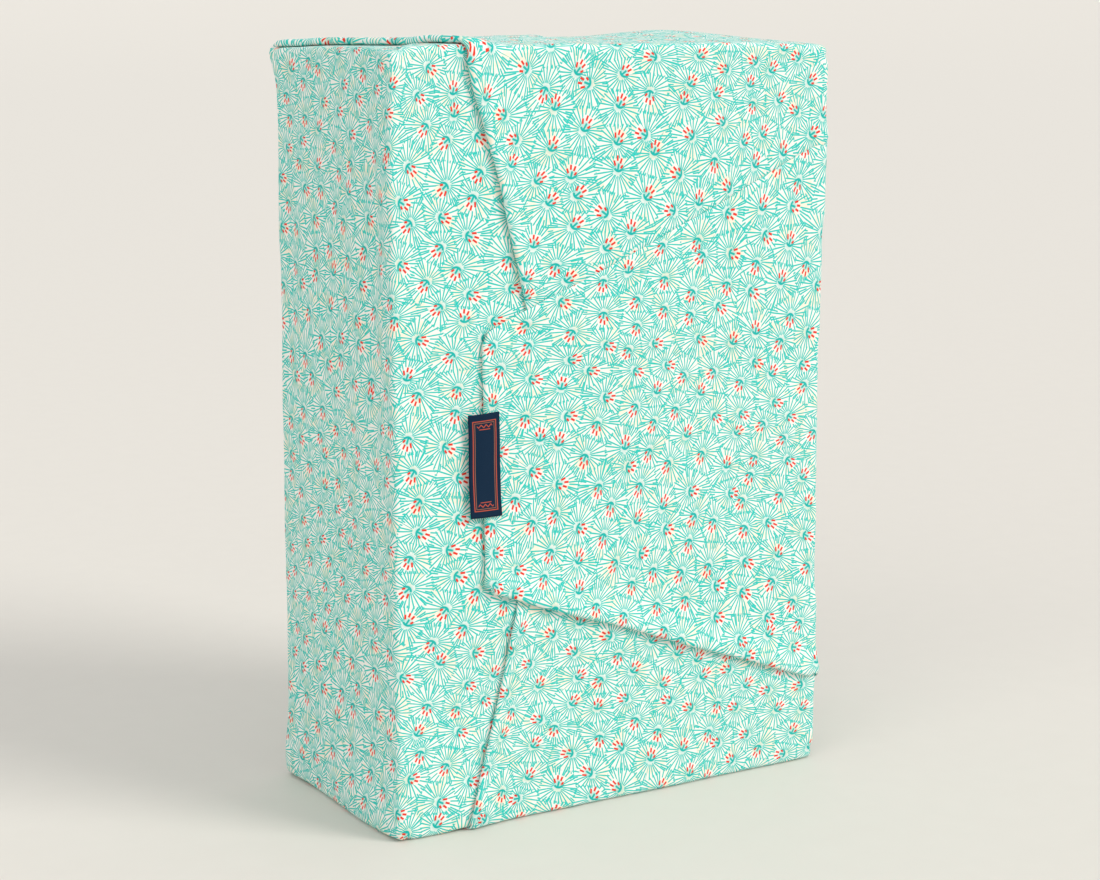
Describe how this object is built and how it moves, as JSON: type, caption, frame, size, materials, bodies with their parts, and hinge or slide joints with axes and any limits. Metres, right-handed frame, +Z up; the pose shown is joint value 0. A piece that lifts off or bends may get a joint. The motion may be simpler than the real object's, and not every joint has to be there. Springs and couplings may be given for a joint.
{
  "type": "furoshiki wrap",
  "caption": "Square printed cotton cloth folded flat round an upright box shape, its last flap laid across the front with a small woven label.",
  "frame": {"origin": "centre of the base, on the surface the wrap stands on", "axes": "+Z up, -Y out of the front with the flaps, +X to the right when facing the front"},
  "size_m": [0.2568, 0.1363, 0.38],
  "materials": {
    "printed cotton": "matt plain-woven cotton with a fine all-over print",
    "woven label": "dark satin-woven label with a thin border"
  },
  "bodies": {
    "root": {"wrap_cloth": "printed cotton", "woven_label": "woven label"}
  },
  "joints": []
}
